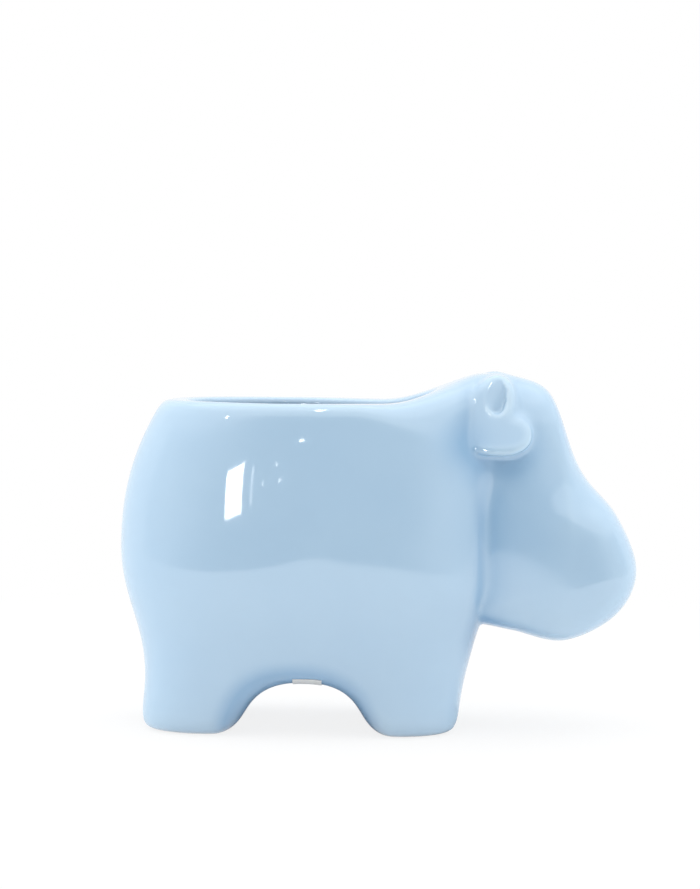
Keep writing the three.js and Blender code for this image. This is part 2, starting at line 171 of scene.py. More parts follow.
@dataclass(frozen=True)
class Torso:
    """The barrel of the vase with its skirt down to the floor, its lip and its mouth (mm).

    Each span gives the start and the end of an eased step.
    """

    # Ends, width and rim, and the heights of the widest ring at the rump and at the flanks
    rump_x: float = -100.0
    neck_x: float = 36.0
    half_width: float = 49.0
    rim_height: float = 126.0
    girth_height: float = 68.0
    flank_girth_height: float = 55.0
    # Tucks above and below the widest ring; their spans are depths below it
    rump_tuck: float = 15.8
    swell_power: float = 2.3
    heel_tuck: float = 10.2
    heel_span: Pair = (-5.0, 53.0)
    flank_tuck: float = 9.0
    hock_tuck: float = 3.8
    hock_span: Pair = (-3.5, 38.5)
    # Flare of the feet, below the hocks and more so towards the front
    foot_flare: float = 1.3
    toe_flare: float = 1.2
    hock_height: float = 20.0
    foot_span: Pair = (-2.0, 22.0)
    toe_span: Pair = (-25.0, 10.0)
    # Breast and chest behind the neck
    breast_reach: float = 7.0
    breast_swell: float = 4.5
    breast_span: Pair = (-20.0, 25.0)
    breast_bottom: Pair = (34.0, 62.0)
    breast_top: Pair = (124.0, 100.0)
    chest_tuck: float = 3.6
    chest_height: float = 72.0
    # Climb of the rim to the nape
    nape_rise: float = 10.0
    nape_span: Pair = (-2.0, 45.0)
    nape_heights: Pair = (60.0, 122.0)
    level_rounds: int = 8
    # Squareness of the sections
    barrel_power: float = 2.4
    shoulder_power: float = 3.0
    shoulder_span: Pair = (-30.0, 15.0)
    stance_power: float = 4.0
    stance_height: float = 46.0
    square_start: float = -22.0
    # Lip and mouth
    lip_reach: float = 5.9
    nape_lip_reach: float = 20.0
    lip_span: Pair = (-15.0, 30.0)
    mouth_half_length: float = 47.0
    mouth_half_width: float = 33.0
    mouth_x: float = -26.5
    mouth_power: float = 2.3
    mouth_taper: float = 0.34
    taper_span: Pair = (-45.0, 12.0)
    mouth_depth: float = 10.0
    # Slow unevenness of the cast wall and one shallow dent in the flank
    ripple: float = 0.07
    long_wave: Pair = (17.0, 21.0)
    long_phase: Pair = (1.3, 0.4)
    short_wave: Triple = (10.5, 19.0, 14.0)
    short_phase: float = 2.0
    short_share: float = 0.7
    dent: float = 0.2
    dent_x: float = -26.0
    dent_height: float = 61.0
    dent_spread: float = 11.0

    def level(self, x: Array, z: Array) -> Array:
        """Height on the barrel before its rim climbs to the nape.

        Args:
            x: Coordinates along X.
            z: Heights on the finished barrel.

        Returns:
            The height h for which h + rise(x) * ease(h) is z, found by repeated substitution.
        """
        climb = self.nape_rise * ease(x, *self.nape_span)
        height = z
        for _ in range(self.level_rounds):
            height = z - climb * ease(height, *self.nape_heights)
        return height

    def section(self, x: Array, height: Array) -> tuple[Array, Array, Array]:
        """Ends and half width of the barrel's section: the widest ring less its tucks, plus its flares.

        Args:
            x: Coordinates along X.
            height: Heights from level().

        Returns:
            X of the rear end, X of the front end, and half the width.
        """
        drop = self.girth_height - height
        rise = np.clip(-drop / (self.rim_height - self.girth_height), 0.0, 1.0) ** self.swell_power
        heel = ease(drop, *self.heel_span)
        chest = ease(drop, 0.0, self.chest_height)
        low = ease(self.hock_height - height, *self.foot_span)
        flare = self.foot_flare * low
        flank = (height - self.flank_girth_height) / (self.rim_height - self.flank_girth_height)
        hock = ease(self.flank_girth_height - height, *self.hock_span)
        rear = self.rump_x + self.rump_tuck * rise + self.heel_tuck * heel - flare
        front = self.neck_x + self.breast_reach * (1.0 - rise / 2.0)
        front = front - (self.breast_reach + self.chest_tuck) * chest
        half = self.half_width - self.flank_tuck * flank**2 - self.hock_tuck * hock + flare
        half = half + self.toe_flare * low * ease(x, *self.toe_span)
        return rear, front, half

    def squareness(self, x: Array, height: Array) -> Array:
        """Power of the section: round at the rump, squarer at the shoulders and towards the floor.

        Args:
            x: Coordinates along X.
            height: Heights from level().

        Returns:
            The powers, as super_distance takes them.
        """
        stance = ease(self.stance_height - height, 0.0, self.stance_height)
        square = 0.5 * ease(self.girth_height - height, self.square_start, self.chest_height) + 0.5 * stance
        power = self.barrel_power + (self.shoulder_power - self.barrel_power) * ease(x, *self.shoulder_span)
        return power + (self.stance_power - power) * square

    def wave(self, x: Array, y: Array, z: Array) -> Array:
        """Unevenness of the cast wall.

        Args:
            x, y, z: Coordinates.

        Returns:
            A long wave along X times one along Z, plus a share of a short slanting wave.
        """
        long_x, long_z = self.long_wave
        short_x, short_y, short_z = self.short_wave
        wave = np.sin(x / long_x + self.long_phase[0]) * np.sin(z / long_z + self.long_phase[1])
        slant = np.sin(x / short_x + z / short_z + self.short_phase)
        return wave + self.short_share * slant * np.cos(y / short_y)

    def distance(self, x: Array, y: Array, z: Array) -> Array:
        """Distance to the barrel: superellipse sections by height, closed by the rounded lip.

        Args:
            x, y, z: Coordinates.

        Returns:
            Signed distance, negative inside.
        """
        height = self.level(x, z)
        rear, front, half = self.section(x, height)
        swell = self.breast_swell * ease(x, *self.breast_span)
        swell = swell * ease(z, *self.breast_bottom) * ease(z, *self.breast_top)
        along = x - swell - (front + rear) / 2.0
        side = super_distance(along, y, (front - rear) / 2.0, half, self.squareness(x, height))
        from_dent = ((x - self.dent_x) ** 2 + (z - self.dent_height) ** 2) / (2.0 * self.dent_spread**2)
        side = side + self.ripple * self.wave(x, y, z) + self.dent * np.exp(-from_dent)
        lip = self.lip_reach + (self.nape_lip_reach - self.lip_reach) * ease(x, *self.lip_span)
        return soft_max(side, height - self.rim_height, lip)

    def mouth_distance(self, x: Array, y: Array, z: Array) -> Array:
        """Distance to the opening in the back.

        Args:
            x, y, z: Coordinates.

        Returns:
            Distance to a superellipse prism down through the deck, drawn in towards the nape.
        """
        half = self.mouth_half_width * (1.0 - self.mouth_taper * ease(x, *self.taper_span))
        prism = super_distance(x - self.mouth_x, y, self.mouth_half_length, half, self.mouth_power)
        return np.maximum(prism, self.rim_height - self.mouth_depth - self.level(x, z))


@dataclass(frozen=True)
class Legs:
    """The four legs, left between two arches that cross under the belly (mm)."""

    arch_x: float = -27.8
    arch_half_span: float = 22.3
    arch_height: float = 19.4
    arch_reach: float = 20.0
    groin_half_span: float = 12.0
    groin_height: float = 18.0
    groin_reach: float = 11.0
    arch_power: float = 2.4
    foot_reach: float = 9.5
    instep_reach: float = 19.5
    instep_span: Pair = (1.0, 13.0)
    hip_height: float = 14.5
    # Painted shade under the arch: its amount, its middle and its width
    arch_shade: float = 0.5
    arch_shade_x: float = -30.5
    arch_shade_width: float = 13.0

    def arch(self, x: Array, z: Array, middle: float) -> Array:
        """Distance to the arch across the belly, about a given middle."""
        return super_distance(x - middle, z, self.arch_half_span, self.arch_height, self.arch_power)

    def carve(self, form: Array, x: Array, y: Array, z: Array) -> Array:
        """Cuts both arches and the floor from a form, each with a rounded edge.

        Args:
            form: Distance to the form that is cut.
            x, y, z: Coordinates.

        Returns:
            Distance to what is left, which stands flat on height 0.
        """
        arch = self.arch(x, z, self.arch_x)
        groin = super_distance(y, z, self.groin_half_span, self.groin_height, self.arch_power)
        form = soft_max(form, -arch, self.arch_reach)
        form = soft_max(form, -groin, self.groin_reach)
        inner = 1.0 - ease(np.minimum(arch, groin), *self.instep_span)
        reach = self.foot_reach + (self.instep_reach - self.foot_reach) * inner
        return soft_max(form, -z, reach)

    def painted_shade(self, x: Array, z: Array) -> Array:
        """Painted shade under the arch, as a deeper glaze tone fading out over its rounded edge."""
        return self.arch_shade * ease(-self.arch(x, z, self.arch_shade_x), -self.arch_shade_width, 0.0)


@dataclass(frozen=True)
class ShadePool:
    """A patch of painted shade with some gathered glaze: a bell over an upright oval (mm)."""

    x: float
    z: float
    half_x: float
    half_z: float
    amount: float

    def depth(self, x: Array, z: Array) -> Array:
        """Amount times the falling exponential of the squared shares of the two half sizes."""
        return self.amount * np.exp(-(((x - self.x) / self.half_x) ** 2) - ((z - self.z) / self.half_z) ** 2)


@dataclass(frozen=True)
class Head:
    """The head: its side outline about a middle point, puffed out to both sides (mm)."""

    # Side outline in X and Z: over the crown, down the face, back along the jaw and on inside the body
    middle: Pair = (74.0, 59.0)
    outline: tuple[Pair, ...] = (
        (36.0, 135.0),
        (45.0, 137.0),
        (54.5, 136.3),
        (66.3, 130.3),
        (74.4, 108.7),
        (80.5, 97.4),
        (92.5, 83.2),
        (100.0, 62.9),
        (92.2, 45.7),
        (72.0, 35.3),
        (51.5, 38.9),
        (36.0, 41.6),
        (-2.0, 47.0),
        (-22.0, 75.0),
        (-8.0, 103.0),
        (20.0, 119.0),
    )
    spline_steps: int = 60
    angle_steps: int = 4096
    smoothing: int = 16
    # Half widths, from the neck to the muzzle, leaning in towards the crown and the forehead
    neck_half_width: float = 31.6
    muzzle_half_width: float = 35.0
    muzzle_span: Pair = (30.0, 76.0)
    lean: float = 0.00065
    lean_height: float = 50.0
    upright_x: float = -30.0
    face_taper: float = 0.18
    face_span: Pair = (45.0, 80.0)
    face_heights: Pair = (75.0, 105.0)
    puff_power: float = 4.0
    # Rounding of the crease at the neck, by height
    throat_reach: float = 1.5
    crease_reach: float = 4.0
    crease_heights: Pair = (42.0, 60.0)
    nape_reach: float = 13.0
    nape_heights: Pair = (80.0, 114.0)
    # Painted shade with some gathered glaze: on the cheeks and in the neck
    shade_pools: tuple[ShadePool, ...] = (ShadePool(52.0, 86.0, 20.0, 28.0, 0.14), ShadePool(31.5, 111.0, 9.0, 10.0, 0.26))

    @cached_property
    def angles(self) -> Array:
        """Equal steps of angle about the middle point, once round from -pi."""
        return np.linspace(-math.pi, math.pi, self.angle_steps, endpoint=False)

    @cached_property
    def radii(self) -> Array:
        """Radius of the outline about the middle point, at each of the angles.

        Returns:
            Radii of the closed spline through the outline's points, smoothed by a bell of weights.
        """
        points = np.array(self.outline)
        before, after, next_after = (np.roll(points, shift, axis=0) for shift in (1, -1, -2))
        t = np.linspace(0.0, 1.0, self.spline_steps, endpoint=False)[:, None, None]
        spline = 0.5 * (
            2.0 * points
            + (after - before) * t
            + (2.0 * before - 5.0 * points + 4.0 * after - next_after) * t**2
            + (3.0 * points - before - 3.0 * after + next_after) * t**3
        ).reshape(-1, 2)
        ahead, up = (spline - np.array(self.middle)).T
        turns = np.arctan2(up, ahead)
        order = np.argsort(turns)
        radii = np.interp(self.angles, turns[order], np.hypot(ahead, up)[order], period=2.0 * math.pi)
        offsets = np.arange(-3 * self.smoothing, 3 * self.smoothing + 1)
        weights = np.exp(-0.5 * (offsets / self.smoothing) ** 2)
        wrapped = np.concatenate([radii[offsets[0] :], radii, radii[: offsets[-1]]])
        return np.convolve(wrapped, weights / weights.sum(), mode="valid")

    @cached_property
    def bends(self) -> Array:
        """Change of the radius with the angle, at each of the angles."""
        return np.gradient(np.pad(self.radii, 1, mode="wrap"), self.angles[1] - self.angles[0])[1:-1]

    def half_width(self, x: Array, z: Array) -> Array:
        """Half the width of the head.

        Args:
            x: Coordinates along X.
            z: Heights.

        Returns:
            An eased step from the neck to the muzzle, less its lean and the taper of the forehead.
        """
        swell = ease(x, *self.muzzle_span)
        half = self.neck_half_width + (self.muzzle_half_width - self.neck_half_width) * swell
        lean = self.lean * (self.upright_x - x)
        half = half * (1.0 + lean * np.clip((z - self.middle[1]) / self.lean_height, -1.0, 1.0))
        return half * (1.0 - self.face_taper * ease(x, *self.face_span) * ease(z, *self.face_heights))

    def distance(self, x: Array, y: Array, z: Array) -> Array:
        """Distance to the head.

        The share U is the distance from the middle point over the outline's radius in that direction,
        and V is |y| over the half width; the skin is where their power norm is 1.

        Args:
            x, y, z: Coordinates.

        Returns:
            Signed distance to first order, negative inside.
        """
        ahead, up = x - self.middle[0], z - self.middle[1]
        away = np.maximum(np.hypot(ahead, up), TINY)
        angle = np.arctan2(up, ahead)
        radius = np.interp(angle, self.angles, self.radii, period=2.0 * math.pi)
        bend = np.interp(angle, self.angles, self.bends, period=2.0 * math.pi)
        half = self.half_width(x, z)
        power = self.puff_power
        share_u, share_v = away / radius, np.abs(y) / half
        q = power_norm(share_u, share_v, power)
        slope_u = (share_u / q) ** (power - 1.0) * np.sqrt(1.0 + (bend / radius) ** 2) / radius
        slope_v = (share_v / q) ** (power - 1.0) / half
        return (q - 1.0) / np.hypot(slope_u, slope_v)

    def painted_shade(self, x: Array, z: Array) -> Array:
        """Painted shade with some gathered glaze on the cheeks and in the neck: the sum of its pools."""
        return sum((pool_and_shade.depth(x, z) for pool_and_shade in self.shade_pools), np.zeros_like(x))

    def crease(self, z: Array) -> Array:
        """Rounding of the crease at the neck: tight at the throat, wide beside the nape."""
        beside = self.throat_reach + (self.crease_reach - self.throat_reach) * ease(z, *self.crease_heights)
        return beside + (self.nape_reach - beside) * ease(z, *self.nape_heights)


@dataclass(frozen=True)
class Ears:
    """The two ears: a low lobe and an upright tip, faced by a leaning plane, with a hollow (mm)."""

    # Side outline, in X and Z
    lobe_centre: Pair = (45.3, 115.3)
    lobe_half: Pair = (12.3, 8.0)
    lobe_power: float = 2.2
    lobe_reach: float = 5.0
    tip_centre: Pair = (41.4, 123.0)
    tip_half: Pair = (9.2, 14.5)
    tip_power: float = 2.0
    tip_lean: float = 0.22
    # Outer face, and the root inside the head
    face_y: float = 35.4
    face_height: float = 112.0
    face_lean: float = 0.42
    face_crown: float = 0.018
    crown_x: float = 47.5
    face_reach: float = 4.8
    root_y: float = 8.0
    root_reach: float = 6.0
    # Hollow in the face
    hollow_centre: Pair = (44.2, 129.3)
    hollow_half: Pair = (3.2, 6.2)
    hollow_power: float = 2.2
    hollow_depth: float = 0.9
    hollow_tilt: float = 0.18
    hollow_lean: float = 0.25
    hollow_reach: float = 1.2
    hollow_edge: float = 2.2
    # Rounding of the seat on the head, from the back to the front and up to the tip
    back_reach: float = 3.0
    front_reach: float = 3.6
    front_span: Pair = (42.0, 54.0)
    tip_reach: float = 6.0
    tip_span: Pair = (40.0, 48.0)
    tip_heights: Pair = (116.0, 124.0)
    # Where the skin is parted from the head's
    parting_inset: float = 1.2
    parting_x: float = 38.0
    parting_y: float = 20.5

    def outline(self, x: Array, z: Array) -> Array:
        """Distance to the side outline of an ear.

        Args:
            x: Coordinates along X.
            z: Heights.

        Returns:
            Distance to the oval lobe and the leaning oval tip, run together.
        """
        across, up = x - self.lobe_centre[0], z - self.lobe_centre[1]
        lobe = super_distance(across, up, *self.lobe_half, self.lobe_power)
        up = z - self.tip_centre[1]
        tip = super_distance(x - self.tip_centre[0] - self.tip_lean * up, up, *self.tip_half, self.tip_power)
        return soft_min(lobe, tip, self.lobe_reach)

    def parting(self, x: Array, y: Array, z: Array) -> Array:
        """Negative where the skin belongs to an ear: within its outline, off the middle and the neck."""
        within = np.maximum(self.outline(x, z) + self.parting_inset, self.parting_y - np.abs(y))
        return np.maximum(within, self.parting_x - x)

    def distance(self, x: Array, y: Array, z: Array) -> Array:
        """Distance to both ears.

        Args:
            x, y, z: Coordinates.

        Returns:
            The side outline, faced outwards by a plane that leans in towards the tip and is a little
            crowned along X.
        """
        face = np.abs(y) - self.face_y + self.face_lean * (z - self.face_height)
        face = face + self.face_crown * (x - self.crown_x) ** 2
        ear = soft_max(self.outline(x, z), face, self.face_reach)
        return soft_max(ear, self.root_y - np.abs(y), self.root_reach)

    def hollow(self, x: Array, y: Array, z: Array) -> Array:
        """Distance to the hollows of both ears.

        Args:
            x, y, z: Coordinates.

        Returns:
            Upright ovals down to a floor that leans less than the face, so that they run out at the tip,
            and that sinks towards the front.
        """
        across, up = x - self.hollow_centre[0], z - self.hollow_centre[1]
        oval = super_distance(across, up, *self.hollow_half, self.hollow_power)
        face_y = self.face_y - self.face_lean * (self.hollow_centre[1] - self.face_height)
        floor = face_y - self.hollow_depth - self.hollow_tilt * across - self.hollow_lean * up - np.abs(y)
        return soft_max(oval, floor, self.hollow_reach)

    def seat(self, x: Array, z: Array) -> Array:
        """Rounding where an ear meets the head: crisp below and behind, soft in front of the tip."""
        below = self.back_reach + (self.front_reach - self.back_reach) * ease(x, *self.front_span)
        return below + (self.tip_reach - below) * ease(x, *self.tip_span) * ease(z, *self.tip_heights)


@dataclass(frozen=True)
class VaseForm:
    """The whole vase as one field, from its parts (mm)."""

    torso: Torso = field(default_factory=Torso)
    legs: Legs = field(default_factory=Legs)
    head: Head = field(default_factory=Head)
    ears: Ears = field(default_factory=Ears)
    wall: float = 5.0
    mouth_reach: float = 3.0
    inner_lip_reach: float = 5.0

    def casting(self, x: Array, y: Array, z: Array) -> Array:
        """Distance to the outside of the castings: torso on its legs, run together with the head."""
        stance = self.legs.carve(self.torso.distance(x, y, z), x, y, z)
        return soft_min(stance, self.head.distance(x, y, z), self.head.crease(z))

    def shell(self, x: Array, y: Array, z: Array) -> Array:
        """Distance to the finished vase.

        Args:
            x, y, z: Coordinates.

        Returns:
            The castings with both hollowed ears, less the space one wall inside and less the mouth.
        """
        casting = self.casting(x, y, z)
        mouth = self.torso.mouth_distance(x, y, z)
        space = soft_min(casting + self.wall, mouth, self.mouth_reach)
        outside = soft_min(casting, self.ears.distance(x, y, z), self.ears.seat(x, z))
        outside = soft_max(outside, -self.ears.hollow(x, y, z), self.ears.hollow_edge)
        return soft_max(outside, -space, self.inner_lip_reach)


def gradient(form: Field, points: Array, step: float = 0.25) -> Array:
    """Slope of a field by central differences.

    Args:
        form: The field.
        points: Where it is read, one row each.
        step: Half the span of each difference (mm).

    Returns:
        One slope vector per point.
    """
    slopes = []
    for axis in np.eye(3) * step:
        slopes.append((form(*(points + axis).T) - form(*(points - axis).T)) / (2.0 * step))
    return np.stack(slopes, axis=1)


def unit(vectors: Array) -> Array:
    """Rows scaled to length 1."""
    return vectors / np.maximum(np.linalg.norm(vectors, axis=1, keepdims=True), TINY)


@dataclass
class Skin:
    """A triangle skin with its exact normals and its traits, which thin the glaze and paint shade into it.

    The traits of a point are its curvature, positive on ridges, and its recess, the share of the
    room in front of it that is taken up by the vase itself, which paints shade into the glaze.
    """

    points: Array
    normals: Array
    traits: Array
    triangles: Array

    def part(self, chosen: Array) -> Skin:
        """The chosen triangles with only their own points.

        Args:
            chosen: One flag per triangle.

        Returns:
            A new skin.
        """
        used, flat = np.unique(self.triangles[chosen], return_inverse=True)
        return Skin(self.points[used], self.normals[used], self.traits[used], flat.reshape(-1, 3))

    def centres(self) -> Array:
        """Middles of the triangles."""
        return self.points[self.triangles].mean(axis=1)

    def open_edges(self) -> Array:
        """Edges with a triangle on one side only, each in its triangle's direction.

        Returns:
            The edges, as rows of two points, that no triangle runs along the other way.
        """
        edges = np.concatenate([self.triangles[:, pair] for pair in ([0, 1], [1, 2], [2, 0])])
        size = len(self.points)
        keys = edges[:, 0] * size + edges[:, 1]
        return edges[~np.isin(keys, edges[:, 1] * size + edges[:, 0])]

    def snap(self, level: Field, reach: float, rounds: int = 2, least_steepness: float = 0.05) -> None:
        """Slides points that lie close to a parting surface along the skin onto it.

        Args:
            level: Field that is 0 on the parting surface.
            reach: How far a point may slide (mm).
            rounds: How often the slide is repeated.
            least_steepness: Least squared slope along the skin that the slide is worked out with.
        """
        for _ in range(rounds):
            value = level(*self.points.T)
            slope = gradient(level, self.points)
            along = slope - (slope * self.normals).sum(axis=1, keepdims=True) * self.normals
            steep = np.maximum((along**2).sum(axis=1), least_steepness)
            shift = -(value / steep)[:, None] * along
            near = np.linalg.norm(shift, axis=1) < reach
            self.points[near] += shift[near]

    def parted(self, level: Field, reach: float, touch: float = 0.01) -> tuple[Skin, Skin]:
        """Cuts the skin along a parting surface.

        A triangle that the surface crosses is cut into three, or into two where it passes through a
        corner; the new points lie where the level runs through 0 along the cut edges.

        Args:
            level: Field that is 0 on the parting surface.
            reach: How far a point may slide onto it (mm).
            touch: Level below which a point counts as lying on it (mm).

        Returns:
            The skin on the negative side and the one on the positive side.
        """
        self.snap(level, reach)
        value = level(*self.points.T)
        value[np.abs(value) < touch] = 0.0
        signs = np.sign(value).astype(int)[self.triangles]
        crossed = (signs.min(axis=1) < 0) & (signs.max(axis=1) > 0)
        touching = crossed & (signs == 0).any(axis=1)
        split = crossed & ~touching
        odd = np.argmax(signs[split] * signs[split].sum(axis=1, keepdims=True) < 0, axis=1)
        tip, left, right = self._turned(split, odd)
        on_plane, ahead, behind = self._turned(touching, np.argmax(signs[touching] == 0, axis=1))
        pairs = np.concatenate([np.stack(p, axis=1) for p in ((tip, left), (tip, right), (ahead, behind))])
        ends, new = np.unique(np.sort(pairs, axis=1), axis=0, return_inverse=True)
        share = (value[ends[:, 0]] / (value[ends[:, 0]] - value[ends[:, 1]]))[:, None]
        new = new.reshape(-1) + len(self.points)
        tip_left, tip_right, middle = np.split(new, [len(tip), 2 * len(tip)])
        fresh = [
            (tip, tip_left, tip_right),
            (tip_left, left, right),
            (tip_left, right, tip_right),
            (on_plane, ahead, middle),
            (on_plane, middle, behind),
        ]
        points, normals, traits = (
            source[ends[:, 0]] * (1.0 - share) + source[ends[:, 1]] * share
            for source in (self.points, self.normals, self.traits)
        )
        whole = Skin(
            np.concatenate([self.points, points]),
            np.concatenate([self.normals, unit(normals)]),
            np.concatenate([self.traits, traits]),
            np.concatenate([self.triangles[~crossed]] + [np.stack(t, axis=1) for t in fresh]),
        )
        negative = level(*whole.centres().T) < 0.0
        return whole.part(negative), whole.part(~negative)

    def _turned(self, chosen: Array, first: Array) -> Array:
        """Corners of the chosen triangles as three rows, turned so that a given corner comes first."""
        places = (first[:, None] + np.arange(3)) % 3
        return np.take_along_axis(self.triangles[chosen], places, axis=1).T

    def fanned(self, edges: Array, hub: Array) -> Skin:
        """The skin with one of its open loops closed by a fan.

        Args:
            edges: Open edges of the loop.
            hub: Middle of the fan.

        Returns:
            A new skin with one more point.
        """
        hubs = np.full(len(edges), len(self.points))
        return Skin(
            np.vstack([self.points, hub]),
            np.vstack([self.normals, unit(self.normals[edges[:, 0]].mean(axis=0, keepdims=True))]),
            np.vstack([self.traits, np.zeros(2)]),
            np.vstack([self.triangles, np.stack([edges[:, 1], edges[:, 0], hubs], axis=1)]),
        )


@dataclass(frozen=True)
class Lattice:
    """Box of lattice points from which a skin is taken (mm)."""

    low: Triple = (-103.0, -53.3, -3.2)
    high: Triple = (103.5, 53.3, 142.0)
    step: float = 1.3
    settle_rounds: int = 4
    longest_stride: float = 0.4
    least_steepness: float = 0.1
    bend_step: float = 1.5
    room: Triple = (12.0, 20.0, 30.0)

    def skin(self, form: Field) -> Skin:
        """Takes the zero surface of a field as a triangle skin.

        Each lattice cell that the surface crosses gets one point, the mean of the crossings on its
        edges, and each crossed lattice edge joins the points of its four cells. The points then step
        down the field's slope onto the surface.

        Args:
            form: The field, negative inside.

        Returns:
            The skin with its normals along the slope and its traits.
        """
        axes = [np.arange(low, high, self.step) for low, high in zip(self.low, self.high)]
        values = form(*np.meshgrid(*axes, indexing="ij"))
        inside = values < 0.0
        corners = np.array(list(np.ndindex(2, 2, 2)))
        spans = [slice(None, -1), slice(1, None)]
        counts = sum(inside[spans[i], spans[j], spans[k]].astype(int) for i, j, k in corners)
        crossed = (counts > 0) & (counts < len(corners))
        cells = np.argwhere(crossed)
        names = np.full(crossed.shape, -1)
        names[crossed] = np.arange(len(cells))
        at_corner = np.stack([values[tuple((cells + corner).T)] for corner in corners], axis=1)
        points = np.array(self.low) + (cells + self._crossings(at_corner, corners)) * self.step
        points = self._settled(form, points)
        normals = unit(gradient(form, points))
        # Curvature thins the glaze; the recess, an occlusion, paints shade into it
        traits = np.stack([self._curvature(form, points), self._recess(points, normals)], axis=1)
        quads = np.concatenate([self._quads(inside, names, axis) for axis in range(3)])
        return Skin(points, normals, traits, self._triangles(points, quads))

    @staticmethod
    def _crossings(at_corner: Array, corners: Array) -> Array:
        """Mean place in each cell where the field runs through 0 along the cell's edges.

        Args:
            at_corner: The field at the eight corners of each cell.
            corners: The corners of a cell, in steps.

        Returns:
            One place per cell, in steps from its lowest corner.
        """
        total, hits = np.zeros((len(at_corner), 3)), np.zeros((len(at_corner), 1))
        pairs = [(a, b) for a in range(len(corners)) for b in range(a)]
        for a, b in [pair for pair in pairs if np.abs(np.subtract(*corners[[*pair]])).sum() == 1]:
            first, second = at_corner[:, a], at_corner[:, b]
            hit = ((first < 0.0) != (second < 0.0))[:, None]
            share = np.where(hit[:, 0], first / np.where(hit[:, 0], first - second, 1.0), 0.0)[:, None]
            total += hit * (corners[a] + share * (corners[b] - corners[a]))
            hits += hit
        return total / hits

    @staticmethod
    def _quads(inside: Array, names: Array, axis: int) -> Array:
        """Four cells around each crossed lattice edge along an axis, turned to face outwards.

        Args:
            inside: Flags of the lattice points inside the form.
            names: Point of each crossed cell.
            axis: The axis of the lattice edges.

        Returns:
            One row of four points per crossed edge.
        """
        order = (axis, (axis + 1) % 3, (axis + 2) % 3)
        turned, cells = (np.moveaxis(source, order, (0, 1, 2)) for source in (inside, names))
        leaving = turned[:-1] & ~turned[1:]
        entering = ~turned[:-1] & turned[1:]
        quads = []
        for change, places in ((leaving, (0, 1, 2, 3)), (entering, (3, 2, 1, 0))):
            i, j, k = np.nonzero(change[:, 1:-1, 1:-1])
            around = [(i, j, k), (i, j + 1, k), (i, j + 1, k + 1), (i, j, k + 1)]
            quads.append(np.stack([cells[around[place]] for place in places], axis=1))
        return np.concatenate(quads)

    def _settled(self, form: Field, points: Array) -> Array:
        """Points moved onto the zero surface by a few capped Newton steps.

        Args:
            form: The field.
            points: Points close to its zero surface.

        Returns:
            The moved points.
        """
        cap = self.longest_stride * self.step
        for _ in range(self.settle_rounds):
            slope = gradient(form, points)
            steep = np.maximum((slope**2).sum(axis=1), self.least_steepness)
            stride = np.clip(form(*points.T) / np.sqrt(steep), -cap, cap)
            points = points - (stride / np.sqrt(steep))[:, None] * slope
        return points

    def _recess(self, points: Array, normals: Array) -> Array:
        """How much of the room in front of each point is taken up, an occlusion used as painted shade.

        Args:
            points: Points of the skin.
            normals: Their normals.

        Returns:
            Mean over a few distances d of 1 - (distance from d along the normal to the skin) / d.
        """
        tree = KDTree(len(points))
        for index, point in enumerate(points.tolist()):
            tree.insert(point, index)
        tree.balance()
        shares = []
        for distance in self.room:
            nearest = [tree.find(point)[2] for point in (points + distance * normals).tolist()]
            shares.append(np.array(nearest) / distance)
        return np.clip(1.0 - np.mean(shares, axis=0), 0.0, 1.0)

    def _curvature(self, form: Field, points: Array) -> Array:
        """Bend of the skin, positive on ridges and negative in creases.

        Args:
            form: The field.
            points: Points of the skin.

        Returns:
            Sum of the field's second slopes along the three axes.
        """
        total = -6.0 * form(*points.T)
        for axis in np.eye(3) * self.bend_step:
            total = total + form(*(points + axis).T) + form(*(points - axis).T)
        return total / self.bend_step**2

    @staticmethod
    def _triangles(points: Array, quads: Array) -> Array:
        """Cuts each quad along its shorter diagonal.

        Args:
            points: Points of the skin.
            quads: Rows of four points.

        Returns:
            Rows of three points.
        """
        corner = points[quads]
        first, second = (np.linalg.norm(corner[:, at] - corner[:, at + 2], axis=1) for at in (0, 1))
        quads = np.where((first > second)[:, None], np.roll(quads, -1, axis=1), quads)
        return np.concatenate([quads[:, [0, 1, 2]], quads[:, [0, 2, 3]]])


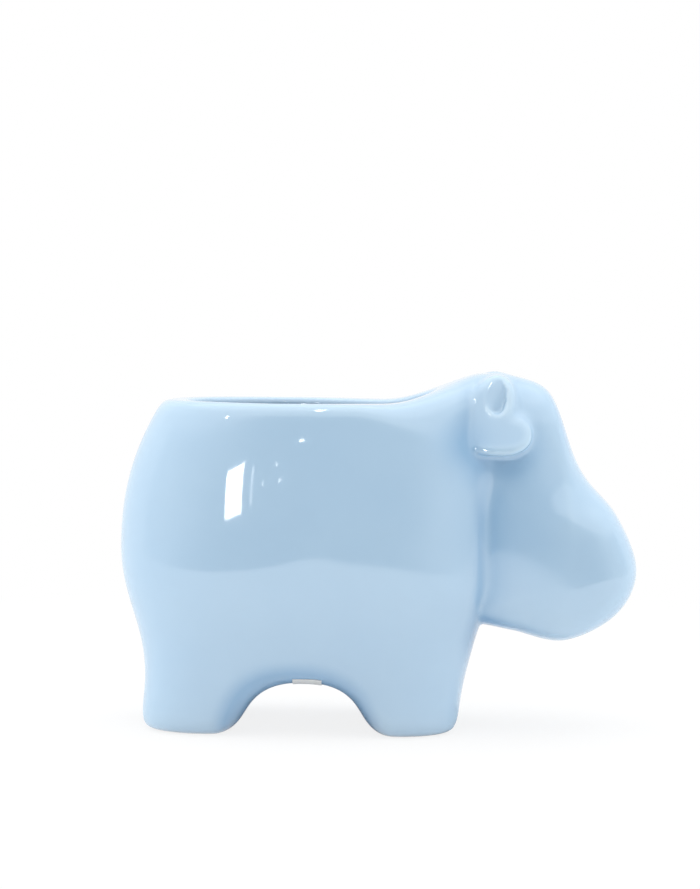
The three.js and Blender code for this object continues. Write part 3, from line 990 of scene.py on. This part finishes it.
class Nodes:
    """A node tree under construction."""

    def __init__(self, tree: bpy.types.NodeTree) -> None:
        """Takes a tree and empties it."""
        self.tree = tree
        self.tree.nodes.clear()

    def add(self, kind: str, **settings: object) -> bpy.types.Node:
        """A new node of a kind, with some of its settings.

        Args:
            kind: Type of the node.
            settings: Values of its properties, by name.

        Returns:
            The node.
        """
        node = self.tree.nodes.new(kind)
        for key, value in settings.items():
            setattr(node, key, value)
        return node

    def link(self, source: Socket | tuple | float, socket: Socket) -> None:
        """Feeds a socket.

        Args:
            source: Another socket, a colour or a number.
            socket: The socket that takes it.
        """
        if isinstance(source, Socket):
            self.tree.links.new(source, socket)
        elif isinstance(source, tuple):
            socket.default_value = (*source, 1.0)
        else:
            socket.default_value = source

    def noise(self, place: Socket, scale: float, detail: float) -> Socket:
        """A noise of a scale per metre, about 0.5.

        Args:
            place: Coordinates that it is read at.
            scale: Waves per metre.
            detail: Number of finer layers.

        Returns:
            Its value.
        """
        node = self.add("ShaderNodeTexNoise")
        for key, value in zip(("Vector", "Scale", "Detail"), (place, scale, detail)):
            self.link(value, node.inputs[key])
        return node.outputs["Fac"]

    def math(self, operation: str, first: Socket | float, second: Socket | float) -> Socket:
        """One arithmetic step.

        Args:
            operation: What is done.
            first: First number.
            second: Second number.

        Returns:
            The result.
        """
        node = self.add("ShaderNodeMath", operation=operation)
        self.link(first, node.inputs[0])
        self.link(second, node.inputs[1])
        return node.outputs[0]

    def vector(self, operation: str, first: Socket, second: Triple = (1.0, 1.0, 1.0)) -> bpy.types.Node:
        """One step on vectors.

        Args:
            operation: What is done.
            first: The vector that it is done to.
            second: A fixed vector, where the operation takes one.

        Returns:
            The node, with the outputs Vector and Value.
        """
        node = self.add("ShaderNodeVectorMath", operation=operation)
        self.link(first, node.inputs[0])
        node.inputs[1].default_value = second
        return node

    def ranged(self, value: Socket, source: Pair, target: Pair, ramp: Ramp = Ramp.STRAIGHT) -> Socket:
        """A value carried from one range to another and clamped there.

        Args:
            value: The value.
            source: Range that it comes from.
            target: Range that it is carried to.
            ramp: How it runs between the ends.

        Returns:
            The carried value.
        """
        node = self.add("ShaderNodeMapRange", clamp=True, interpolation_type=ramp.value)
        keys = ("Value", "From Min", "From Max", "To Min", "To Max")
        for key, number in zip(keys, (value, *source, *target)):
            self.link(number, node.inputs[key])
        return node.outputs["Result"]

    def blended(self, share: Socket, first: Socket | tuple, second: Socket | tuple) -> Socket:
        """Two colours mixed by a share."""
        return self._mix("RGBA", share, first, second)

    def mixed(self, share: Socket, first: Socket | float, second: Socket | float) -> Socket:
        """Two numbers mixed by a share."""
        return self._mix("FLOAT", share, first, second)

    def _mix(self, data_type: str, *values: Socket | tuple | float) -> Socket:
        """A mix of two values.

        Args:
            data_type: What is mixed.
            values: The share of the second value, the first value and the second one.

        Returns:
            The mix.
        """
        node = self.add("ShaderNodeMix", data_type=data_type)
        for key, value in zip(("Factor", "A", "B"), values):
            self.link(value, node.inputs[key])
        return node.outputs["Result"]


class NodeMaterial(Nodes):
    """A node material under construction, around one Principled shader."""

    def __init__(self, name: str) -> None:
        """Starts an empty material with its shader and output.

        Args:
            name: Name of the material.
        """
        self.material = bpy.data.materials.new(name)
        self.material.use_nodes = True
        super().__init__(self.material.node_tree)
        self.shader = self.add("ShaderNodeBsdfPrincipled")
        self.output = self.add("ShaderNodeOutputMaterial")
        self.show(self.shader.outputs["BSDF"])
        self.place = self.add("ShaderNodeTexCoord").outputs["Object"]

    def show(self, surface: Socket) -> None:
        """Makes a shader's output the surface of the material."""
        self.link(surface, self.output.inputs["Surface"])

    def trait(self, name: str) -> Socket:
        """A number that each point of the mesh bears, by name."""
        return self.add("ShaderNodeAttribute", attribute_name=name).outputs["Fac"]

    def upward(self, vector: Socket) -> Socket:
        """The Z of a vector.

        Args:
            vector: The vector.

        Returns:
            Its third coordinate.
        """
        node = self.add("ShaderNodeSeparateXYZ")
        self.link(vector, node.inputs[0])
        return node.outputs["Z"]

    def bump(self, height: Socket, strength: float, depth: float) -> None:
        """Gives the shader a fine relief.

        Args:
            height: Height of the relief.
            strength: Share of it that is seen.
            depth: Its depth (m).
        """
        node = self.add("ShaderNodeBump")
        for key, value in zip(("Height", "Strength", "Distance"), (height, strength, depth)):
            self.link(value, node.inputs[key])
        self.link(node.outputs["Normal"], self.shader.inputs["Normal"])


@dataclass(frozen=True)
class Glaze:
    """Pale sky-blue gloss glaze over a light clay (colours are linear, scales are per metre)."""

    name: str = "pale_blue_glaze"
    tone: Triple = (0.410, 0.582, 0.750)
    thin_and_lit: Triple = (0.500, 0.670, 0.810)
    deep_and_shaded: Triple = (0.262, 0.448, 0.655)
    clay: Triple = (0.780, 0.745, 0.690)
    clay_grit: Triple = (0.6, 0.56, 0.5)
    # Curvature at which it thins, recess at which painted shade deepens it, and how both drift over the vase
    ridge_span: Pair = (0.05, 0.40)
    pool_and_shade_span: Pair = (0.02, 0.36)
    drift: float = 0.04
    drift_scale: float = 28.0
    # Bare clay: height above the floor (m) and upward part of the normal
    bare_heights: Pair = (0.0006, 0.0001)
    bare_facing: Pair = (-0.85, -0.98)
    grit_scale: float = 1500.0
    grit_span: Pair = (0.35, 0.65)
    grit_share: float = 0.25
    # Gloss
    roughness: float = 0.05
    roughness_drift: float = 0.012
    gloss_scale: float = 60.0
    clay_roughness: float = 0.75
    refraction: float = 1.85
    relief_scale: float = 120.0
    relief_strength: float = 0.05
    relief_depth: float = 0.0002
    noise_span: Pair = (0.3, 0.7)

    def material(self) -> bpy.types.Material:
        """The glaze as a node material.

        The tone drifts with a wide noise, thins where the curvature is high and inside as painted light,
        deepens with its recess as painted shade and gathered glaze, and leaves the undersides of the feet
        bare.

        Returns:
            The material.
        """
        nodes = NodeMaterial(self.name)
        place, shader = nodes.place, nodes.shader
        wide = nodes.noise(place, self.drift_scale, detail=3.0)
        drift = nodes.ranged(wide, self.noise_span, (-self.drift, self.drift))
        # Thin tone: thinner glaze on ridges, and painted light where the inside is given a small curvature
        thin_and_lit_share = nodes.ranged(nodes.math("ADD", nodes.trait("curvature"), drift), self.ridge_span, (0.0, 1.0))
        # Painted shade: the recess, partly gathered glaze, darkens the tone towards the deep one
        pool_and_shade = nodes.ranged(nodes.math("ADD", nodes.trait("recess"), drift), self.pool_and_shade_span, (0.0, 1.0))
        tone = nodes.blended(pool_and_shade, nodes.blended(thin_and_lit_share, self.tone, self.thin_and_lit), self.deep_and_shaded)
        facing = nodes.upward(nodes.add("ShaderNodeNewGeometry").outputs["Normal"])
        low = nodes.ranged(nodes.upward(place), self.bare_heights, (0.0, 1.0))
        bare = nodes.math("MULTIPLY", low, nodes.ranged(facing, self.bare_facing, (0.0, 1.0)))
        grit = nodes.noise(place, self.grit_scale, detail=2.0)
        grit = nodes.ranged(grit, self.grit_span, (0.0, self.grit_share))
        clay = nodes.blended(grit, self.clay, self.clay_grit)
        gloss_span = (self.roughness - self.roughness_drift, self.roughness + self.roughness_drift)
        gloss = nodes.ranged(nodes.noise(place, self.gloss_scale, detail=2.0), self.noise_span, gloss_span)
        nodes.link(nodes.blended(bare, tone, clay), shader.inputs["Base Color"])
        nodes.link(nodes.mixed(bare, gloss, self.clay_roughness), shader.inputs["Roughness"])
        shader.inputs["IOR"].default_value = self.refraction
        relief = nodes.noise(place, self.relief_scale, detail=2.0)
        nodes.bump(relief, self.relief_strength, self.relief_depth)
        return nodes.material


@dataclass(frozen=True)
class LabelPaper:
    """Matt off-white paper with a faint fibre, left blank (colours are linear, scales are per metre)."""

    name: str = "label_paper"
    tone: Triple = (0.80, 0.80, 0.79)
    fibre: Triple = (0.66, 0.65, 0.62)
    fibre_scale: float = 1800.0
    fibre_span: Pair = (0.4, 0.75)
    fibre_share: float = 0.5
    roughness: float = 0.8
    relief_strength: float = 0.2
    relief_depth: float = 0.0001

    def material(self) -> bpy.types.Material:
        """The paper as a node material, its fibre a fine noise in tone and relief.

        Returns:
            The material.
        """
        nodes = NodeMaterial(self.name)
        fibre = nodes.noise(nodes.place, self.fibre_scale, detail=4.0)
        share = nodes.ranged(fibre, self.fibre_span, (0.0, self.fibre_share))
        nodes.link(nodes.blended(share, self.tone, self.fibre), nodes.shader.inputs["Base Color"])
        nodes.shader.inputs["Roughness"].default_value = self.roughness
        nodes.bump(fibre, self.relief_strength, self.relief_depth)
        return nodes.material


def placed(mesh: bpy.types.Mesh, node: str) -> bpy.types.Object:
    """Puts a mesh into the scene as a piece of the vase.

    Args:
        mesh: The finished mesh, which gives the piece its name.
        node: Name of the solid that the piece stands for.

    Returns:
        The piece.
    """
    piece = bpy.data.objects.new(mesh.name, mesh)
    bpy.context.scene.collection.objects.link(piece)
    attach(piece, "root")
    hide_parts(node)
    return piece


@dataclass(frozen=True)
class Castings:
    """Body, head, legs and ears of the vase, taken from one skin and parted at the slip joints (mm)."""

    form: VaseForm = field(default_factory=VaseForm)
    lattice: Lattice = field(default_factory=Lattice)
    finish: Glaze = field(default_factory=Glaze)
    # How far a point may slide onto a joint, and how near to the joint an edge of its cut lies
    slide: float = 0.4
    on_joint: float = 0.02
    # How far inside its edge the middle of an ear's seat lies
    root_depth: float = 0.5
    # Painted shade fades near an ear and near the floor; inside from the lip on the glaze is even, paled as
    # painted light
    ear_span: Pair = (-4.0, 10.0)
    floor_span: Pair = (-8.0, 18.0)
    inner_lip: float = 1.0
    # Curvature given to the inside, which pales its glaze as painted light
    inner_painted_light: float = 0.1

    def build(self) -> list[bpy.types.Object]:
        """Makes every glazed piece.

        Returns:
            The new objects, each standing for the solid whose name it bears.
        """
        glaze = self.finish.material()
        whole = self.lattice.skin(self.form.shell)
        self._settle_shade(whole)
        ears, rest = whole.parted(self.form.ears.parting, self.slide)
        skins: dict[str, Skin] = {}
        for side in Side:
            lobe = ears.part(ears.centres()[:, 1] * side.value > 0.0)
            loop = lobe.open_edges()
            hub = lobe.points[np.unique(loop)].mean(axis=0) - (0.0, side.value * self.root_depth, 0.0)
            skins[f"ear_{side.name.lower()}"] = lobe.fanned(loop, hub)
            seat = rest.open_edges()
            rest = rest.fanned(seat[rest.points[seat[:, 0], 1] * side.value > 0.0], hub)
        legs, upper = rest.parted(lambda x, y, z: z - self.form.legs.hip_height, self.slide)
        body, head = upper.parted(lambda x, y, z: x - self.form.torso.neck_x, self.slide)
        skins |= {"body_shell": body, "head_shell": head}
        middles = legs.centres()
        for end in End:
            for side in Side:
                chosen = (middles[:, 0] - self.form.legs.arch_x) * end.value > 0.0
                chosen &= middles[:, 1] * side.value > 0.0
                skins[f"leg_{end.name.lower()}_{side.name.lower()}"] = legs.part(chosen)
        return [self.piece(name, skin, glaze) for name, skin in skins.items()]

    def _settle_shade(self, skin: Skin) -> None:
        """Settles the painted shade and light of the glaze on the whole vase.

        The recess of a point fades near the ears and the floor, gains the painted shade of the head and the
        legs, and is 0 inside the vase, where the glaze is even and a small curvature pales it as painted
        light.

        Args:
            skin: The whole skin, whose traits are changed.
        """
        x, y, z = skin.points.T
        casting = self.form.casting(x, y, z)
        off_ear = ease(self.form.ears.distance(x, y, z) - casting, *self.ear_span)
        skin.traits[:, 1] *= off_ear * ease(z, *self.floor_span)
        skin.traits[:, 1] += self.form.head.painted_shade(x, z) + self.form.legs.painted_shade(x, z)
        inner = casting < -self.form.wall / 2.0
        inner |= self.form.torso.mouth_distance(x, y, z) < self.inner_lip
        # Inside: no painted shade, and a small curvature that pales the glaze as painted light
        skin.traits[inner] = (self.inner_painted_light, 0.0)

    def piece(self, name: str, skin: Skin, glaze: bpy.types.Material) -> bpy.types.Object:
        """Puts a skin into an object, closes it at the joints and dresses it.

        Args:
            name: Name of the solid that it stands for.
            skin: Its skin.
            glaze: Its material.

        Returns:
            The object.
        """
        mesh = bpy.data.meshes.new(f"{name}_glazed")
        mesh.from_pydata((skin.points * MM).tolist(), [], skin.triangles.tolist())
        for trait, values in zip(("curvature", "recess"), skin.traits.T.astype(np.float32)):
            mesh.attributes.new(trait, "FLOAT", "POINT").data.foreach_set("value", values.copy())
        self._close_joints(mesh)
        mesh.shade_smooth()
        mesh.normals_split_custom_set_from_vertices(skin.normals.tolist())
        mesh.materials.append(glaze)
        return placed(mesh, name)

    def _close_joints(self, mesh: bpy.types.Mesh) -> None:
        """Fills the wall's flat cut at the hips and at the neck, facing away from the casting.

        Args:
            mesh: The mesh of a casting.
        """
        work = bmesh.new()
        work.from_mesh(mesh)
        for axis, joint in ((2, self.form.legs.hip_height), (0, self.form.torso.neck_x)):
            place, near = joint * MM, self.on_joint * MM
            rim = [
                edge
                for edge in work.edges
                if edge.is_boundary and all(abs(vert.co[axis] - place) < near for vert in edge.verts)
            ]
            if not rim:
                continue
            middle = sum((vert.co[axis] for vert in work.verts), 0.0) / len(work.verts)
            normal = Vector(np.eye(3)[axis] * (1.0 if middle < place else -1.0))
            made = bmesh.ops.triangle_fill(work, use_beauty=True, edges=rim, normal=normal)
            for face in made["geom"]:
                if isinstance(face, bmesh.types.BMFace) and face.normal.dot(normal) < 0.0:
                    face.normal_flip()
        work.to_mesh(mesh)
        work.free()


@dataclass(frozen=True)
class UndersideLabel:
    """Blank paper label stuck under the belly (mm)."""

    width: float = 11.0
    length: float = 26.0
    middle_x: float = -26.3
    near_y: float = -39.8
    thickness: float = 0.3
    glue: float = 0.05
    columns: int = 25
    rows: int = 53
    start_height: float = 4.0
    climb_rounds: int = 60
    climb_share: float = 0.8
    finish: LabelPaper = field(default_factory=LabelPaper)

    def build(self, form: VaseForm) -> bpy.types.Object:
        """Lays the label onto the belly.

        A flat grid across the belly climbs by most of the distance that is left to the belly until
        it touches it; the paper stands off along the belly's normals.

        Args:
            form: The vase that carries it.

        Returns:
            The object.
        """
        x, y = np.meshgrid(
            self.middle_x + self.width * np.linspace(-0.5, 0.5, self.columns),
            self.near_y + self.length * np.linspace(0.0, 1.0, self.rows),
            indexing="ij",
        )
        z = np.full_like(x, self.start_height)
        for _ in range(self.climb_rounds):
            z = z + self.climb_share * form.shell(x, y, z)
        seat = np.stack([x, y, z], axis=-1)
        out = unit(gradient(form.shell, seat.reshape(-1, 3))).reshape(seat.shape)
        mesh = self._sheet(seat + (self.glue + self.thickness) * out, seat + self.glue * out)
        mesh.materials.append(self.finish.material())
        return placed(mesh, "underside_label")

    @staticmethod
    def _sheet(face: Array, back: Array) -> bpy.types.Mesh:
        """A closed sheet between two grids of the same size.

        Args:
            face: Grid of the side that is seen.
            back: Grid of the side that is stuck down.

        Returns:
            The sheet as a mesh.
        """
        count = face.shape[0] * face.shape[1]
        names = np.arange(count).reshape(face.shape[:2])
        cells = np.stack([names[:-1, :-1], names[1:, :-1], names[1:, 1:], names[:-1, 1:]], axis=-1)
        cells = cells.reshape(-1, 4)
        rim = np.concatenate([names[:-1, 0], names[-1, :-1], names[:0:-1, -1], names[0, :0:-1]])
        after = np.roll(rim, -1)
        walls = np.stack([after, rim, rim + count, after + count], axis=1)
        quads = np.concatenate([cells[:, ::-1], cells + count, walls[:, ::-1]])
        points = np.concatenate([face.reshape(-1, 3), back.reshape(-1, 3)]) * MM
        mesh = bpy.data.meshes.new("underside_label_paper")
        mesh.from_pydata(points.tolist(), [], quads.tolist())
        work = bmesh.new()
        work.from_mesh(mesh)
        bmesh.ops.recalc_face_normals(work, faces=work.faces)
        work.to_mesh(mesh)
        work.free()
        return mesh


@dataclass(frozen=True)
class Lamp:
    """A flat lamp in the studio, facing the middle of the vase (m, W, radians)."""

    name: str
    use: LampUse
    place: Triple
    size: Pair
    power: float
    turn: float = 0.0
    target: Triple = (0.0, 0.0, 0.07)

    def build(self) -> None:
        """Hangs the lamp so that it faces its target."""
        data = bpy.data.lights.new(self.name, "AREA")
        data.shape = "RECTANGLE"
        data.size, data.size_y = self.size
        data.energy = self.power
        lamp = bpy.data.objects.new(self.name, data)
        aim = (Vector(self.target) - Vector(self.place)).to_track_quat("-Z", "Y").to_matrix().to_4x4()
        lamp.matrix_world = Matrix.Translation(self.place) @ aim @ Matrix.Rotation(self.turn, 4, "Z")
        lamp.visible_diffuse = self.use is LampUse.FILL
        lamp.visible_glossy = self.use is LampUse.GLINT
        bpy.context.scene.collection.objects.link(lamp)


@dataclass(frozen=True)
class BrightSide:
    """A bright side of the surround, as the cosines to it between which its light rises."""

    towards: Triple
    cosines: Pair
    level: float

    def light(self, nodes: Nodes, direction: Socket) -> Socket:
        """Light that this side gives: its level times a smooth step of the cosine to it.

        Args:
            nodes: The nodes of the surround.
            direction: Direction that is looked in.

        Returns:
            The strength.
        """
        cosine = nodes.vector("DOT_PRODUCT", direction, self.towards).outputs["Value"]
        return nodes.ranged(cosine, self.cosines, (0.0, self.level), Ramp.SMOOTH)


@dataclass(frozen=True)
class Studio:
    """White floor, soft surround, lamps and the camera of the photograph (m)."""

    # Camera
    camera_place: Triple = (-0.0113, -1.0, 0.1628)
    tilt_deg: float = 3.079
    roll_deg: float = 0.8
    focal_px: float = 2565.0
    # Floor: white to the camera but for a soft shadow, and white in the gloss but for its shaded part
    floor_size: float = 8.0
    floor_tone: Triple = (0.86, 0.86, 0.86)
    floor_roughness: float = 0.9
    white: float = 1.0
    shadow_span: Pair = (0.12, 0.45)
    shadow_white: Pair = (0.84, 1.0)
    shade_half: Pair = (0.098, 0.031)
    shade_span: Pair = (0.85, 1.30)
    shade_light: Pair = (0.05, 1.0)
    # Surround
    dim: float = 0.06
    bright_sides: tuple[BrightSide, ...] = (
        BrightSide((-1.0, 0.0, 0.0), (0.35, 0.95), 0.20),
        BrightSide((-1.0, 0.0, 0.0), (0.75, 1.00), 0.22),
        BrightSide((-0.8, 0.0, 0.6), (0.45, 0.75), 0.26),
        BrightSide((0.8, 0.0, 0.6), (0.50, 0.66), 0.10),
        BrightSide((1.0, 0.0, 0.0), (0.20, 0.65), 0.42),
        BrightSide((0.0, 1.0, 0.0), (-0.05, 0.40), 0.90),
        BrightSide((0.0, 0.0, 1.0), (0.42, 0.56), 0.88),
    )
    skylight: BrightSide = BrightSide((0.0, 0.0, 1.0), (0.68, 0.82), 0.5)
    lamps: tuple[Lamp, ...] = (
        Lamp("overhead_softbox", LampUse.FILL, (0.0, 0.1, 1.6), (2.4, 2.2), 9.3),
        Lamp("front_fill", LampUse.FILL, (0.0, -1.6, 0.45), (1.2, 0.3), 2.35),
        Lamp("nose_fill", LampUse.FILL, (1.4, 0.1, 0.2), (0.6, 0.5), 3.3),
        Lamp("rump_fill", LampUse.FILL, (-1.4, 0.1, 0.2), (0.6, 0.5), 4.6),
        Lamp("window", LampUse.GLINT, (-0.287, -0.580, 0.228), (0.078, 0.12), 0.5, 0.2),
        Lamp("window_edge", LampUse.GLINT, (-0.211, -0.605, 0.237), (0.0045, 0.09), 0.006, 0.2),
        Lamp("pane_rear", LampUse.GLINT, (-0.449, -0.490, 0.484), (0.020, 0.03), 0.022),
        Lamp("pane_middle", LampUse.GLINT, (-0.025, -0.186, 0.327), (0.006, 0.05), 0.018),
        Lamp("pane_front", LampUse.GLINT, (-0.061, -0.605, 0.320), (0.013, 0.006), 0.003),
        Lamp("spot_upper", LampUse.GLINT, (-0.130, -0.613, 0.274), (0.005, 0.005), 0.0008),
        Lamp("spot_lower", LampUse.GLINT, (-0.112, -0.624, 0.239), (0.005, 0.005), 0.0008),
        Lamp("spot_rear", LampUse.GLINT, (-0.169, -0.615, 0.237), (0.005, 0.005), 0.0008),
    )

    def build(self) -> None:
        """Sets up floor, surround, lamps, camera and view transform."""
        self._floor()
        self._surround()
        for lamp in self.lamps:
            lamp.build()
        self._camera()
        bpy.context.scene.view_settings.view_transform = "Standard"

    def _floor(self) -> None:
        """Lays a plain white floor that keeps a soft shadow."""
        half = self.floor_size / 2.0
        mesh = bpy.data.meshes.new("floor")
        corners = [(-half, -half, 0.0), (half, -half, 0.0), (half, half, 0.0), (-half, half, 0.0)]
        mesh.from_pydata(corners, [], [(0, 1, 2, 3)])
        mesh.materials.append(self._floor_material())
        floor = bpy.data.objects.new("floor", mesh)
        bpy.context.scene.collection.objects.link(floor)

    def _floor_material(self) -> bpy.types.Material:
        """The floor's material: matt, and glowing white to the camera and in the gloss, less so by the vase.

        Returns:
            The material.
        """
        nodes = NodeMaterial("white_floor")
        nodes.link(self.floor_tone, nodes.shader.inputs["Base Color"])
        nodes.shader.inputs["Roughness"].default_value = self.floor_roughness
        nodes.shader.inputs["Specular IOR Level"].default_value = 0.0
        glow = nodes.add("ShaderNodeEmission")
        glow.inputs["Strength"].default_value = self.white
        path = nodes.add("ShaderNodeLightPath")
        away = nodes.vector("LENGTH", nodes.place).outputs["Value"]
        far = nodes.ranged(away, self.shadow_span, self.shadow_white)
        seen = nodes.math("MULTIPLY", path.outputs["Is Camera Ray"], far)
        shares = nodes.vector("DIVIDE", nodes.place, (*self.shade_half, 1.0)).outputs["Vector"]
        beside = nodes.vector("LENGTH", shares).outputs["Value"]
        open_floor = nodes.ranged(beside, self.shade_span, self.shade_light)
        mirrored = nodes.math("MULTIPLY", path.outputs["Is Glossy Ray"], open_floor)
        mix = nodes.add("ShaderNodeMixShader")
        surfaces = (nodes.math("MAXIMUM", seen, mirrored), nodes.shader.outputs["BSDF"], glow.outputs[0])
        for source, socket in zip(surfaces, mix.inputs):
            nodes.link(source, socket)
        nodes.show(mix.outputs[0])
        return nodes.material

    def _surround(self) -> None:
        """Sets up a bright surround with one dim field: the room behind the camera.

        The light from a direction is the dim level plus that of each bright side, at most white, and
        the skylight overhead on top of that. The camera sees plain white.
        """
        world = bpy.data.worlds.new("studio")
        bpy.context.scene.world = world
        world.use_nodes = True
        nodes = Nodes(world.node_tree)
        direction = nodes.add("ShaderNodeTexCoord").outputs["Generated"]
        light: Socket | float = self.dim
        for side in self.bright_sides:
            light = nodes.math("ADD", side.light(nodes, direction), light)
        light = nodes.math("MINIMUM", light, self.white)
        light = nodes.math("ADD", self.skylight.light(nodes, direction), light)
        seen = nodes.add("ShaderNodeLightPath").outputs["Is Camera Ray"]
        sky = nodes.add("ShaderNodeBackground")
        nodes.link((1.0, 1.0, 1.0), sky.inputs["Color"])
        nodes.link(nodes.mixed(seen, light, self.white), sky.inputs["Strength"])
        output = nodes.add("ShaderNodeOutputWorld")
        nodes.link(sky.outputs[0], output.inputs["Surface"])

    def _camera(self) -> None:
        """Sets up the camera of the photograph, a little above the crown and tilted down."""
        data = bpy.data.cameras.new("camera")
        data.sensor_width = SENSOR_MM
        data.lens = self.focal_px * SENSOR_MM / IMAGE_LONG_SIDE_PX
        camera = bpy.data.objects.new("camera", data)
        aim = Matrix.Rotation(math.radians(90.0 - self.tilt_deg), 4, "X")
        roll = Matrix.Rotation(math.radians(self.roll_deg), 4, "Z")
        camera.matrix_world = Matrix.Translation(self.camera_place) @ aim @ roll
        bpy.context.scene.collection.objects.link(camera)
        bpy.context.scene.camera = camera


def main() -> None:
    """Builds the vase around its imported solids, then the studio."""
    logging.basicConfig(level=logging.INFO, format="%(name)s %(message)s")
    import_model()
    castings = Castings()
    for piece in (*castings.build(), UndersideLabel().build(castings.form)):
        LOG.info("%s: %d faces", piece.name, len(piece.data.polygons))
    Studio().build()


if __name__ == "__main__":
    main()
